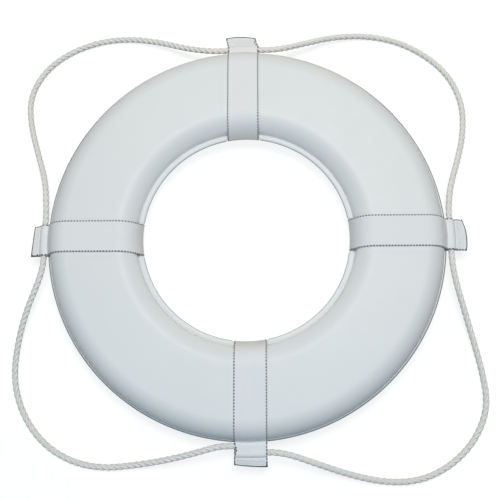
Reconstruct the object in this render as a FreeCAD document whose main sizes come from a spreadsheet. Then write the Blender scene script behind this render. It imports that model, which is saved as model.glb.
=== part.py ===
"""Ring lifebuoy, 24 inch size, lying on its back.

Two foam half rings sit inside two vinyl half covers that are welded together along the
inner and outer rims.  Four webbing straps go round the ring.  One grab line passes
through a pocket in each strap and hangs between the straps in four free loops.

Lengths are millimetres.  +Z is the ring's axis, z = 0 is the surface it lies on.
"""
import FreeCAD
import Part
import os
import Sketcher
from math import asin, atan2, cos, degrees, hypot, pi, radians, sin, sqrt, tan

Vector = FreeCAD.Vector

# Driving sizes: alias, value, what it is.
SIZES = [
    ("overall_diameter", 609.6, "across the outer welded rim, the 24 inch size"),
    ("hole_diameter", 316.2, "across the inner welded rim"),
    ("outer_rim_width", 4.0, "how far the outer rim stands out"),
    ("inner_rim_width", 9.0, "how far the inner rim stands into the hole"),
    ("rim_thickness", 1.0, "one layer of the rim; front and back layers lie face to face"),
    ("body_thickness", 62.0, "front face to back face of the covered ring"),
    ("shoulder_radius", 29.0, "rounding of the ring's section"),
    ("skin_thickness", 1.2, "vinyl cover"),
    ("web_width", 48.5, "strap webbing"),
    ("web_thickness", 1.6, "strap webbing"),
    ("web_gap", 0.05, "webbing to skin, and half the space between the two plies of a tab"),
    ("rope_diameter", 9.5, "grab line, 3/8 inch"),
    ("pocket_gap", 0.2, "webbing to rope in a pocket"),
    ("pocket_fold_radius", 2.5, "webbing fold outside the rope"),
    ("inner_fold_radius", 3.0, "webbing fold between the ring and the rope"),
    ("inner_fold_reach", 5.5, "from that fold's centre to the rope's centre, along the radius"),
    ("rim_wrap_radius", 5.0, "webbing bend round the inner rim"),
    ("rim_wrap_gap", 0.3, "webbing to inner rim"),
    ("neck_diameter", 8.6, "rope squeezed under a whipping or the seizing"),
    ("whipping_length", 7.0, "thread whipping near a rope end"),
    ("seizing_length", 8.0, "thread seizing that ties the two rope ends together"),
    ("thread_diameter", 0.9, "seam thread"),
    ("stitch_length", 3.2, "one visible stitch"),
    ("stitch_pitch", 4.4, "stitch to stitch"),
    ("seam_margin", 3.0, "from the strap's edge to the end of a seam"),
    ("end_inset", 3.0, "from a rope end to the strap's far edge"),
    ("whipping_inset", 4.0, "from a rope end to its whipping"),
]

# Room beyond a strap on every side of the block that cuts it to width.
CUT_MARGIN = 5.0
# Turn of a strap's section before it is cut, wide enough for its width at the hole.
BAND_DEGREES = 36.0

# Each strap: direction round the ring in degrees, sideways shift of its centre line,
# radius of its cut end, radii of its two seams, and radii of the rope runs in its pocket.
# The bottom strap holds both rope ends: the left one, then the right one.
STRAPS = {
    "right": (0.0, 3.2, 335.5, (322.5, 328.5), (312.0,)),
    "top": (90.0, 4.6, 332.0, (320.0, 325.5), (310.8,)),
    "left": (180.0, 3.2, 329.0, (321.0, 325.0), (311.5,)),
    "bottom": (270.0, 6.4, 338.5, (330.0, 334.5), (310.2, 319.9)),
}

# Hand-chosen route of each free loop, strap to strap: x, y, z.
LOOPS = {
    "top_left": [
        (-310.4, 26.1, 32.65), (-311.0, 52.0, 32.4), (-317.0, 96.0, 24.0),
        (-334.5, 143.5, 10.9), (-350.0, 192.5, 5.5), (-355.5, 240.0, 4.85),
        (-336.5, 284.5, 4.85), (-301.0, 317.0, 4.85), (-252.5, 338.5, 4.85),
        (-200.5, 345.5, 5.8), (-146.5, 337.0, 10.9), (-97.0, 318.5, 22.8),
        (-60.5, 309.2, 32.4), (-33.9, 308.9, 32.65),
    ],
    "top_right": [
        (24.7, 309.8, 32.65), (55.5, 311.3, 32.4), (97.5, 325.5, 23.4),
        (144.0, 342.0, 10.9), (198.0, 346.0, 5.5), (250.5, 334.5, 4.85),
        (297.5, 307.0, 4.85), (331.0, 271.5, 4.85), (348.5, 223.5, 5.3),
        (345.5, 172.0, 9.1), (332.0, 126.5, 20.4), (317.0, 84.0, 29.6),
        (311.8, 56.5, 32.5), (310.3, 32.5, 32.65),
    ],
    "bottom_right": [
        (35.7, -317.9, 32.65), (63.0, -321.5, 32.4), (103.5, -335.5, 25.4),
        (150.5, -351.0, 13.3), (204.0, -362.5, 6.4), (255.5, -360.0, 4.85),
        (303.0, -337.0, 4.85), (339.5, -300.0, 4.85), (359.5, -252.5, 5.0),
        (353.5, -201.0, 6.1), (339.5, -149.0, 13.9), (324.5, -100.0, 26.0),
        (314.0, -60.0, 32.4), (310.9, -26.1, 32.65),
    ],
    "bottom_left": [
        (-309.8, -32.5, 32.65), (-315.5, -63.0, 32.4), (-336.5, -111.0, 22.2),
        (-350.0, -159.5, 10.0), (-354.0, -209.5, 5.5), (-341.5, -256.5, 4.85),
        (-312.5, -300.5, 4.85), (-268.5, -331.0, 4.85), (-218.0, -343.0, 5.2),
        (-163.5, -338.0, 9.7), (-111.0, -329.0, 20.4), (-69.5, -318.6, 30.2),
        (-45.0, -311.3, 32.5), (-22.9, -309.4, 32.65),
    ],
}

# Expressions that several sketches share.
HALF = "dims.body_thickness / 2"
MID = "(dims.body_thickness / 2 + dims.web_gap + dims.web_thickness)"
RIM_OUTER = "dims.overall_diameter / 2"
RIM_INNER = "dims.hole_diameter / 2"
BODY_OUTER = "(dims.overall_diameter / 2 - dims.outer_rim_width)"
BODY_INNER = "(dims.hole_diameter / 2 + dims.inner_rim_width)"
FLAT_OUTER = f"({BODY_OUTER} - dims.shoulder_radius)"
FLAT_INNER = f"({BODY_INNER} + dims.shoulder_radius)"


# ---------------------------------------------------------------- document helpers

def make_sheet(doc):
    """Put the driving sizes in the spreadsheet that everything else reads."""
    sheet = doc.addObject("Spreadsheet::Sheet", "dims")
    for row, (alias, size, note) in enumerate(SIZES, start=1):
        sheet.set(f"A{row}", note)
        sheet.set(f"B{row}", str(size))
        sheet.setAlias(f"B{row}", alias)
    doc.recompute()
    return sheet


def amount(doc, expression):
    """The number that an expression gives."""
    return float(doc.dims.evalExpression(expression))


def size(doc, alias):
    """One driving size as a number."""
    return float(doc.dims.get(alias))


def middle_height(doc):
    """Height of the ring's middle plane above the surface it lies on."""
    return amount(doc, MID)


def name_part(part, label):
    """Label a sub-part with its node name and mark it for export."""
    part.Label = label
    return part


# ---------------------------------------------------------------- covers and foam

def add_outline(body, name, corners):
    """Fully constrained closed sketch on the XZ plane.

    A corner is (radius, height) in expressions.  A corner that starts a quarter round
    also carries the round's centre and radius: (radius, height, centre, round_radius).
    """
    doc = body.Document
    sketch = body.newObject("Sketcher::SketchObject", name)
    planes = {item.Role: item for item in body.Origin.OriginFeatures}
    sketch.AttachmentSupport = [(planes["XZ_Plane"], "")]
    sketch.MapMode = "FlatFace"
    places = [Vector(amount(doc, c[0]), amount(doc, c[1]), 0) for c in corners]
    starts, ends = [], []
    for index, corner in enumerate(corners):
        here = places[index]
        there = places[(index + 1) % len(corners)]
        if len(corner) == 2:
            edge, forward = Part.LineSegment(here, there), True
        else:
            centre = Vector(amount(doc, corner[2][0]), amount(doc, corner[2][1]), 0)
            edge, forward = quarter_round(here, there, centre, amount(doc, corner[3]))
        number = sketch.addGeometry(edge, False)
        starts.append((number, 1 if forward else 2))
        ends.append((number, 2 if forward else 1))
    for index in range(len(corners)):
        following = starts[(index + 1) % len(corners)]
        sketch.addConstraint(Sketcher.Constraint("Coincident", *ends[index], *following))
    for index, corner in enumerate(corners):
        bind(sketch, "DistanceX", starts[index], places[index].x, f"radius_{index}", corner[0])
        bind(sketch, "DistanceY", starts[index], places[index].y, f"height_{index}", corner[1])
        if len(corner) == 4:
            centre = (starts[index][0], 3)
            across = corner[2][0]
            bind(sketch, "DistanceX", centre, amount(doc, across), f"round_{index}", across)
    return sketch


def quarter_round(here, there, centre, radius):
    """Anticlockwise arc between two points, and whether it starts at the first."""
    circle = Part.Circle(centre, Vector(0, 0, 1), radius)
    angles = [atan2(point.y - centre.y, point.x - centre.x) for point in (here, there)]
    sweep = (angles[1] - angles[0]) % (2 * pi)
    if sweep < pi:
        return Part.ArcOfCircle(circle, angles[0], angles[0] + sweep), True
    return Part.ArcOfCircle(circle, angles[1], angles[1] + 2 * pi - sweep), False


def bind(sketch, kind, point, distance, name, expression):
    """Hold one coordinate of a sketch point at an expression's value."""
    place = sketch.addConstraint(Sketcher.Constraint(kind, -1, 1, *point, distance))
    sketch.renameConstraint(place, name)
    sketch.setExpression(f"Constraints.{name}", expression)


def add_ring(doc, label, corners):
    """A PartDesign body: the outline turned once round the ring's axis."""
    body = doc.addObject("PartDesign::Body", label)
    outline = add_outline(body, f"{label}_outline", corners)
    turned = body.newObject("PartDesign::Revolution", f"{label}_turned")
    turned.Profile = outline
    turned.ReferenceAxis = (outline, ["V_Axis"])
    turned.Angle = 360.0
    body.Tip = turned
    outline.Visibility = False
    return name_part(body, label)


def level(side, offset):
    """Height expression: an offset from the middle plane, towards one side."""
    return f"{MID} + {side} * ({offset})"


def foam_corners(side):
    """Half of the foam: fills the cover from the middle plane to one face."""
    inner = f"{BODY_INNER} + dims.skin_thickness"
    outer = f"{BODY_OUTER} - dims.skin_thickness"
    shoulder = level(side, f"{HALF} - dims.shoulder_radius")
    face = level(side, f"{HALF} - dims.skin_thickness")
    bend = "dims.shoulder_radius - dims.skin_thickness"
    return [
        (inner, level(side, "0")),
        (inner, shoulder, (FLAT_INNER, shoulder), bend),
        (FLAT_INNER, face),
        (FLAT_OUTER, face, (FLAT_OUTER, shoulder), bend),
        (outer, shoulder),
        (outer, level(side, "0")),
    ]


def skin_corners(side):
    """Half cover: a shell with a flat rim layer at its inner and outer edges."""
    inside = foam_corners(side)
    shoulder = level(side, f"{HALF} - dims.shoulder_radius")
    face = level(side, HALF)
    rim = level(side, "dims.rim_thickness")
    bend = "dims.shoulder_radius"
    outside = [
        (RIM_OUTER, level(side, "0")),
        (RIM_OUTER, rim),
        (BODY_OUTER, rim),
        (BODY_OUTER, shoulder, (FLAT_OUTER, shoulder), bend),
        (FLAT_OUTER, face),
        (FLAT_INNER, face, (FLAT_INNER, shoulder), bend),
        (BODY_INNER, shoulder),
        (BODY_INNER, rim),
        (RIM_INNER, rim),
        (RIM_INNER, level(side, "0")),
    ]
    return outside + inside


# ---------------------------------------------------------------- straps

def strap_rounds(doc, pocket):
    """The rounds that half a strap bends over, from the hole out past its pocket.

    Each is (radius from the axis, height over the middle plane, bend radius, side):
    side is 1 where the ring or rope is inside the bend, -1 where the webbing folds back.
    """
    gap = size(doc, "web_gap")
    bend = size(doc, "shoulder_radius") + gap
    shoulder = size(doc, "body_thickness") / 2 - size(doc, "shoulder_radius")
    rope = size(doc, "rope_diameter") / 2 + size(doc, "pocket_gap")
    wrap = size(doc, "rim_wrap_radius")
    wrap_centre = size(doc, "hole_diameter") / 2 - size(doc, "rim_wrap_gap") + wrap
    fold = size(doc, "inner_fold_radius")
    reach = size(doc, "inner_fold_reach")
    outer_fold = size(doc, "pocket_fold_radius")
    outer_reach = sqrt((rope + outer_fold) ** 2 - (outer_fold + gap) ** 2)
    rounds = [
        (wrap_centre, 0.0, wrap, 1),
        (amount(doc, FLAT_INNER), shoulder, bend, 1),
        (amount(doc, FLAT_OUTER), shoulder, bend, 1),
        (pocket[0] - reach, sqrt((rope + fold) ** 2 - reach ** 2), fold, -1),
    ]
    rounds += [(radius, 0.0, rope, 1) for radius in pocket]
    rounds.append((pocket[-1] + outer_reach, outer_fold + gap, outer_fold, -1))
    return rounds


def headings(rounds):
    """Heading of the taut webbing before the first round, between them and after."""
    found = [pi / 2]
    for here, there in zip(rounds, rounds[1:]):
        across = there[0] - here[0]
        up = there[1] - here[1]
        step = here[3] * here[2] - there[3] * there[2]
        reach = hypot(across, up)
        found.append(atan2(up, across) - asin(max(-1.0, min(1.0, step / reach))))
    return found + [0.0]


def webbing_face(rounds, offset, cut_end, middle):
    """One face of the webbing as edges: arcs over the rounds, joined by tangent lines."""
    turns = headings(rounds)
    edges = []
    last = None
    for index, (radius, height, bend, side) in enumerate(rounds):
        arm = side * bend + offset

        def at(heading):
            return Vector(radius - arm * sin(heading), 0, middle + height + arm * cos(heading))

        arrive, leave = turns[index], turns[index + 1]
        if last is not None and last.distanceToPoint(at(arrive)) > 1e-4:
            edges.append(Part.LineSegment(last, at(arrive)).toShape())
        if abs(arrive - leave) > 1e-6:
            halfway = (arrive + leave) / 2
            edges.append(Part.Arc(at(arrive), at(halfway), at(leave)).toShape())
        last = at(leave)
    end = Vector(cut_end, 0, last.z)
    edges.append(Part.LineSegment(last, end).toShape())
    return edges, end


def strap_profile(doc, name, cut_end, pocket):
    """Section of a whole strap: front half, back half and the two cut ends."""
    middle = middle_height(doc)
    rounds = strap_rounds(doc, pocket)
    near, near_end = webbing_face(rounds, 0.0, cut_end, middle)
    far, far_end = webbing_face(rounds, size(doc, "web_thickness"), cut_end, middle)
    front = near + far + [Part.LineSegment(near_end, far_end).toShape()]
    back = [edge.mirror(Vector(0, 0, middle), Vector(0, 0, 1)) for edge in front]
    wire = Part.Wire(Part.__sortEdges__(front + back))
    profile = doc.addObject("Part::Feature", f"{name}_profile")
    profile.Shape = Part.Face(wire)
    return profile


def add_strap(doc, side):
    """One strap: its section turned about the ring's axis, cut to the webbing's width."""
    angle, shift, cut_end, _, pocket = STRAPS[side]
    profile = strap_profile(doc, f"strap_{side}", cut_end, pocket)
    band = doc.addObject("Part::Revolution", f"strap_{side}_band")
    band.Source = profile
    band.Axis = (0, 0, 1)
    band.Angle = BAND_DEGREES
    band.Symmetric = True
    band.Solid = True
    width = doc.addObject("Part::Box", f"strap_{side}_width")
    width.Length = cut_end + CUT_MARGIN
    width.setExpression("Width", "dims.web_width")
    width.setExpression("Height", f"2 * {MID} + 2 * {CUT_MARGIN}")
    width.setExpression("Placement.Base.y", f"{shift} - dims.web_width / 2")
    width.setExpression("Placement.Base.z", f"-{CUT_MARGIN}")
    strap = doc.addObject("Part::Common", f"strap_{side}")
    strap.Base = band
    strap.Tool = width
    strap.Placement = FreeCAD.Placement(Vector(), FreeCAD.Rotation(Vector(0, 0, 1), angle))
    return name_part(strap, f"strap_{side}")


def add_stitching(doc, side):
    """Seam threads of one tab: two seams, seen as short stitches on both plies."""
    angle, shift, _, seams, _ = STRAPS[side]
    radius = size(doc, "thread_diameter") / 2
    length = size(doc, "stitch_length")
    pitch = size(doc, "stitch_pitch")
    surface = size(doc, "web_gap") + size(doc, "web_thickness")
    middle = middle_height(doc)
    room = size(doc, "web_width") - 2 * size(doc, "seam_margin")
    count = int((room - length) / pitch) + 1
    first = shift - (count - 1) * pitch / 2 - length / 2
    stitches = []
    for seam in seams:
        for number in range(count):
            start = first + number * pitch
            for face in (1, -1):
                foot = Vector(seam, start, middle + face * surface)
                thread = Part.makeCylinder(radius, length, foot, Vector(0, 1, 0))
                low = foot.z if face > 0 else foot.z - radius
                keep = Part.makeBox(2 * radius, length, radius, Vector(seam - radius, start, low))
                stitches.append(thread.common(keep))
    part = doc.addObject("Part::Feature", f"stitching_{side}")
    part.Shape = Part.makeCompound(stitches)
    part.Placement = FreeCAD.Placement(Vector(), FreeCAD.Rotation(Vector(0, 0, 1), angle))
    return name_part(part, f"stitching_{side}")


# ---------------------------------------------------------------- grab line

def add_rope_arc(doc, name, radius, low, high, angle):
    """A stretch of rope bent round the ring's axis, from y = low to y = high."""
    first = degrees(asin(low / radius))
    last = degrees(asin(high / radius))
    rope = doc.addObject("Part::Torus", name)
    rope.Radius1 = radius
    rope.setExpression("Radius2", "dims.rope_diameter / 2")
    rope.Angle3 = last - first
    rope.Placement = FreeCAD.Placement(
        Vector(0, 0, middle_height(doc)), FreeCAD.Rotation(Vector(0, 0, 1), angle + first)
    )
    return rope


def add_pocket_rope(doc, side):
    """The grab line where it passes through a strap's pocket."""
    angle, shift, _, _, (radius,) = STRAPS[side]
    half = size(doc, "web_width") / 2
    label = f"rope_in_{side}_strap"
    return name_part(add_rope_arc(doc, label, radius, shift - half, shift + half, angle), label)


def sleeve(doc, name, radii, outline, at, length):
    """Thread wound round one rope or two: a band between neck and outside."""
    middle = middle_height(doc)
    neck = size(doc, "neck_diameter") / 2
    angle = STRAPS["bottom"][0]
    face = Part.Face(outline)
    for radius in radii:
        hole = Part.makeCircle(neck, Vector(radius, 0, middle), Vector(0, 1, 0))
        face = face.cut(Part.Face(Part.Wire(hole)))
    mean = sum(radii) / len(radii)
    sweep = degrees(length / mean)
    start = degrees(asin(at / mean)) - sweep / 2
    part = doc.addObject("Part::Feature", name)
    part.Shape = face.Faces[0].revolve(Vector(), Vector(0, 0, 1), sweep)
    part.Placement = FreeCAD.Placement(Vector(), FreeCAD.Rotation(Vector(0, 0, 1), angle + start))
    return name_part(part, name)


def round_outline(doc, radius):
    """Outside of the thread round one rope."""
    place = Vector(radius, 0, middle_height(doc))
    return Part.Wire(Part.makeCircle(size(doc, "rope_diameter") / 2, place, Vector(0, 1, 0)))


def pair_outline(doc, first, second):
    """Outside of the thread round both ropes: two half rounds and two flats."""
    middle = middle_height(doc)
    rope = size(doc, "rope_diameter") / 2
    top = middle + rope
    low = middle - rope
    edges = [
        Part.LineSegment(Vector(first, 0, top), Vector(second, 0, top)),
        Part.Arc(Vector(second, 0, top), Vector(second + rope, 0, middle), Vector(second, 0, low)),
        Part.LineSegment(Vector(second, 0, low), Vector(first, 0, low)),
        Part.Arc(Vector(first, 0, low), Vector(first - rope, 0, middle), Vector(first, 0, top)),
    ]
    return Part.Wire([edge.toShape() for edge in edges])


def add_rope_ends(doc):
    """Both ends of the grab line, side by side in the bottom strap, whipped and seized."""
    angle, shift, _, _, (inner, outer) = STRAPS["bottom"]
    half = size(doc, "web_width") / 2
    tail = size(doc, "end_inset")
    wraps = size(doc, "whipping_length")
    low, high = shift - half, shift + half
    inset = tail + size(doc, "whipping_inset") + wraps / 2
    over_inner = round_outline(doc, inner)
    over_outer = round_outline(doc, outer)
    left_whip = sleeve(doc, "whipping_left", [inner], over_inner, high - inset, wraps)
    right_whip = sleeve(doc, "whipping_right", [outer], over_outer, low + inset, wraps)
    both = pair_outline(doc, inner, outer)
    seizing = sleeve(doc, "seizing", [inner, outer], both, shift, size(doc, "seizing_length"))
    left = add_rope_arc(doc, "left_end_round", inner, low, high - tail, angle)
    right = add_rope_arc(doc, "right_end_round", outer, low + tail, high, angle)
    ends = []
    for name, rope, whipping in (("left", left, left_whip), ("right", right, right_whip)):
        thread = doc.addObject("Part::MultiFuse", f"thread_{name}")
        thread.Shapes = [whipping, seizing]
        end = doc.addObject("Part::Cut", f"rope_end_{name}")
        end.Base = rope
        end.Tool = thread
        ends.append(name_part(end, f"rope_end_{name}"))
    return ends + [left_whip, right_whip, seizing]


def rope_path(points):
    """Straight runs joined by tangent arcs, each as large as its two runs allow."""
    route = [Vector(*point) for point in points]
    edges, radii = [], []
    last = route[0]
    for before, corner, after in zip(route, route[1:], route[2:]):
        back = before - corner
        ahead = after - corner
        half_turn = (pi - back.getAngle(ahead)) / 2
        reach = 0.45 * min(back.Length, ahead.Length)
        radius = reach / tan(half_turn)
        back.normalize()
        ahead.normalize()
        enter = corner + back * reach
        leave = corner + ahead * reach
        inward = (back + ahead).normalize()
        centre = corner + inward * (radius / cos(half_turn))
        edges.append(Part.LineSegment(last, enter).toShape())
        edges.append(Part.Arc(enter, centre - inward * radius, leave).toShape())
        radii.append(radius)
        last = leave
    edges.append(Part.LineSegment(last, route[-1]).toShape())
    return Part.Wire(edges), radii


def add_loop(doc, name):
    """One free loop of the grab line: a tube with a round end at each strap."""
    label = f"rope_loop_{name}"
    points = LOOPS[name]
    radius = size(doc, "rope_diameter") / 2
    path, radii = rope_path(points)
    start, end = Vector(*points[0]), Vector(*points[-1])
    first = (Vector(*points[1]) - start).normalize()
    last = (end - Vector(*points[-2])).normalize()
    section = Part.Wire(Part.makeCircle(radius, start, first))
    tube = path.makePipeShell([section], True, False)
    exact = pi * radius ** 2 * path.Length
    print(f"{label}: length {path.Length:.1f}, arc radii {min(radii):.0f} to {max(radii):.0f}, "
          f"volume {tube.Volume:.0f} against {exact:.0f}")
    caps = [
        Part.makeSphere(radius, start, first, -90, 0, 360),
        Part.makeSphere(radius, end, last, 0, 90, 360),
    ]
    part = doc.addObject("Part::Feature", label)
    part.Shape = tube.multiFuse(caps).Solids[0]
    return name_part(part, label)


# ---------------------------------------------------------------- whole buoy

def build(doc):
    """Every sub-part of the buoy."""
    make_sheet(doc)
    parts = []
    for name, side in (("front", 1), ("back", -1)):
        parts.append(add_ring(doc, f"foam_core_{name}", foam_corners(side)))
        parts.append(add_ring(doc, f"skin_{name}", skin_corners(side)))
    for side in STRAPS:
        parts.append(add_strap(doc, side))
        parts.append(add_stitching(doc, side))
    for side in ("right", "top", "left"):
        parts.append(add_pocket_rope(doc, side))
    parts += add_rope_ends(doc)
    for name in LOOPS:
        parts.append(add_loop(doc, name))
    return parts


def check(doc, parts):
    """Stop if any object failed or any sub-part's shape is unusable."""
    for item in doc.Objects:
        if "Invalid" in item.State or "Error" in item.State:
            raise RuntimeError(f"{item.Label} did not compute: {item.State}")
    for part in parts:
        if part.Shape.isNull() or not part.Shape.isValid() or part.Shape.Volume <= 0:
            raise RuntimeError(f"{part.Label} has no usable shape")


def main():
    doc = FreeCAD.newDocument("lifebuoy")
    parts = build(doc)
    doc.recompute()
    check(doc, parts)
    os.makedirs("parts", exist_ok=True)
    for part in parts:
        part.Shape.exportStep(f"parts/{part.Label}.step")
        box = part.Shape.optimalBoundingBox(False)
        print(f"{part.Label}: {len(part.Shape.Solids)} solids, {part.Shape.Volume / 1000:.2f} cm3, "
              f"z {box.ZMin:.2f} to {box.ZMax:.2f}")


main()
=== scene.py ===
from math import asin, atan2, ceil, cos, exp, floor, hypot, pi, radians, sin, sqrt
from random import Random

import bmesh
import bpy
from mathutils import Matrix, Vector, noise


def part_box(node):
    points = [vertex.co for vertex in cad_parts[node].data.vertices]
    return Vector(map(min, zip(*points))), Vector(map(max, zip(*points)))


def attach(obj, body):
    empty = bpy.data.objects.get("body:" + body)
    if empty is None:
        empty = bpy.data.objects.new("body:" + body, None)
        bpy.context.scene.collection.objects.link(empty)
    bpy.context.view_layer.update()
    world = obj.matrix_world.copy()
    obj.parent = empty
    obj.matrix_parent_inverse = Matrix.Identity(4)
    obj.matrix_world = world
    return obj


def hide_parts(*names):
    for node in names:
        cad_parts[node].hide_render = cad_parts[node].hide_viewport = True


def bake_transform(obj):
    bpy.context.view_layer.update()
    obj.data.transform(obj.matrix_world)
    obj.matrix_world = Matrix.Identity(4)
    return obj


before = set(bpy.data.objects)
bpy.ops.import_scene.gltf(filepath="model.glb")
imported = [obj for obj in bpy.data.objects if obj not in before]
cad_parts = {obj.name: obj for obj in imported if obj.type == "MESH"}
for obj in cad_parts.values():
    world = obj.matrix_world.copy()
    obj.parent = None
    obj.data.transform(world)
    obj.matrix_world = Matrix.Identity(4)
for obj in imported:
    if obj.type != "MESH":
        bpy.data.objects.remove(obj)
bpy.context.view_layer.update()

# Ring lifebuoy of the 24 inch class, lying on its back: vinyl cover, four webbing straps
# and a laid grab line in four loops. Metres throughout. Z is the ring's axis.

MM = 0.001

# ---------------------------------------------------------------- sizes


def axis_distances(node):
    """Least and greatest distance of a CAD node's points from the ring's axis."""
    far = [hypot(v.co.x, v.co.y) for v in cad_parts[node].data.vertices]
    return min(far), max(far)


# The ring, from its CAD cover. Its two halves are welded together on the middle plane.
HOLE_RADIUS, RIM_RADIUS = axis_distances("skin_front")
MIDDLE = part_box("skin_front")[0].z
HALF_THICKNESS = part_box("skin_front")[1].z - MIDDLE

# The welded rims outside and at the hole: their width, half the height of their rounded
# bead, and the width of the painted shade along their free edge.
OUTER_RIM = 4.0 * MM
INNER_RIM = 9.0 * MM
OUTER_BEAD = 2.0 * MM
INNER_BEAD = 3.2 * MM
OUTER_EDGE_SHADE = 2.0 * MM
INNER_EDGE_SHADE = 0.8 * MM

# The body: radius of its rounded shoulders, radii where it meets the rims and where its
# flat faces end, and the height over the middle plane at which the shoulders begin.
SHOULDER = 29.0 * MM
BODY_OUTER = RIM_RADIUS - OUTER_RIM
BODY_INNER = HOLE_RADIUS + INNER_RIM
FLAT_OUTER = BODY_OUTER - SHOULDER
FLAT_INNER = BODY_INNER + SHOULDER
WALL = HALF_THICKNESS - SHOULDER

# The cover's mesh: turns in degrees round a rim's bead and over a shoulder, lanes across
# the flat face, and steps round the ring.
BEAD_TURNS = range(0, 141, 14)
SHOULDER_TURNS = range(6, 91, 3)
FLAT_LANES = 16
RING_STEPS = 720

# The cover's unevenness: broad waves (height, cells per metre), and puckers that fade with
# their height over the middle plane.
COVER_WAVES = ((0.30 * MM, 9.0), (0.10 * MM, 31.0))
PUCKER_HEIGHT = 0.25 * MM
PUCKER_CELLS = 95.0
PUCKER_REACH = 9 * MM
WAVE_FADE = 2 * MM  # how far from a rim the waves reach their full height
# A strap dents the cover, smooths it beside its edges and raises a low ridge further off.
STRAP_DENT = 0.12 * MM
SETTLE_REACH = 4 * MM
RIDGE_HEIGHT = 0.45 * MM
RIDGE_PLACE = 5 * MM
RIDGE_REACH = 4.5 * MM
RIDGE_FADE = 6 * MM  # how far from a rim the ridge reaches its full height

# The webbing, and how it wraps the hole's rim and pulls that soft rim back.
WEB_THICKNESS = 1.6 * MM
WEB_GAP = 0.05 * MM  # between the webbing and what it lies on
RIM_WRAP = 5.0 * MM  # bend radius round the rim
RIM_WRAP_GAP = 0.3 * MM
RIM_PULL = 2.0 * MM  # how far a taut strap pulls the rim back
SQUEEZE_CLEARANCE = 0.2 * MM  # how much more the rim yields than its strap
SQUEEZE_MARGIN = 3 * MM  # how far beside a strap the rim is still pressed back

# The pocket that holds the rope, between an inner and an outer fold of the webbing.
INNER_FOLD = 3.0 * MM  # bend radius
INNER_FOLD_REACH = 5.5 * MM  # how far its centre lies inside the rope's
FOLD_PLACE = 6.5 * MM  # how far its deepest part lies inside the rope's centre
OUTER_FOLD = 2.5 * MM  # bend radius
POCKET_GAP = 0.2 * MM  # play round the rope

# How soft webbing strays from a taut line.
FOLD_EASE = 1.0 * MM  # stand-off at the inner fold
FOLD_EASE_REACH = 3.5 * MM  # over what distance it fades
OUTER_EASE_PLACE = 7.5 * MM  # middle of the eased stretch, outside the rope's centre
ARCH_REACH = 4 * MM  # over what distance the inner fold's arch fades
TAB_START = 2 * MM  # where a tab's own shape begins, outside the rope's centre
TAB_WAVE = 0.9 * MM  # height of the tab's unevenness
TAB_CELLS = (90, 60)  # its cells per metre outwards and across
FRAY_START = 3 * MM  # where the frayed edges begin, inside the rope's centre
FRAY_CELLS = 420  # cells per metre along a frayed edge
FRAY_WIDTH = 0.12  # share of the tab's width that the fraying reaches over
NIP_WIDTH = 0.45  # share of the tab's width that a nip reaches over
MELT_AND_SHADE_WIDTH = 1.6 * MM  # width of a corner where the dark end, melted and painted shade, reaches further in

# Steps of the webbing's mesh: lanes across it, and the greatest turn, arc and straight run
# along it. Points closer than SAME_PLACE count as one.
WEB_LANES = 26
ARC_TURN = radians(2.0)
ARC_STEP = 1.2 * MM
STRAIGHT_STEP = 1.5 * MM
SAME_PLACE = 1e-6

# The laid rope: three strands, whose lay makes a full turn in three diameters.
ROPE_DIAMETER = 9.5 * MM
ROPE_LAY = 3 * ROPE_DIAMETER
STRANDS = 3
STRAND_SHARE = 0.545  # a strand's thickness as a share of the rope's
STRAND_CORNERS = 14
ROPE_STEP = 1.2 * MM

# The rope's two ends in the bottom strap, and the threads on them.
END_INSET = 3.0 * MM  # from the strap's edge to the rope's end
WHIPPING_INSET = 4.0 * MM  # from the rope's end to its whipping
WHIPPING_LENGTH = 7.0 * MM
SEIZING_LENGTH = 8.0 * MM
WHIPPED = 0.88  # share of the rope's thickness under a thread
BINDING_FADE = 2.5 * MM  # how far beside a thread the rope is whole again
TURN_CORNERS = 28  # mesh steps of a thread's turn round the rope

# Sewing and binding thread, and the stitches of a tab's seams.
THREAD_DIAMETER = 0.9 * MM
THREAD_CORNERS = 8
STITCH_LENGTH = 3.2 * MM
STITCH_PITCH = 4.4 * MM
STITCH_STEPS = 8
STITCH_RISE = 0.28 * MM  # height of a stitch's middle over the webbing
STITCH_DIVE = 0.75 * MM  # how far its ends lie below its middle
STITCH_STRAY_MM = 0.2  # random stray along the seam
STITCH_SKEW_MM = 0.25  # random skew across the seam
SEAM_MARGIN = 3.0 * MM  # bare webbing at both ends of a seam
SEAM_SEED = 5
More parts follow.
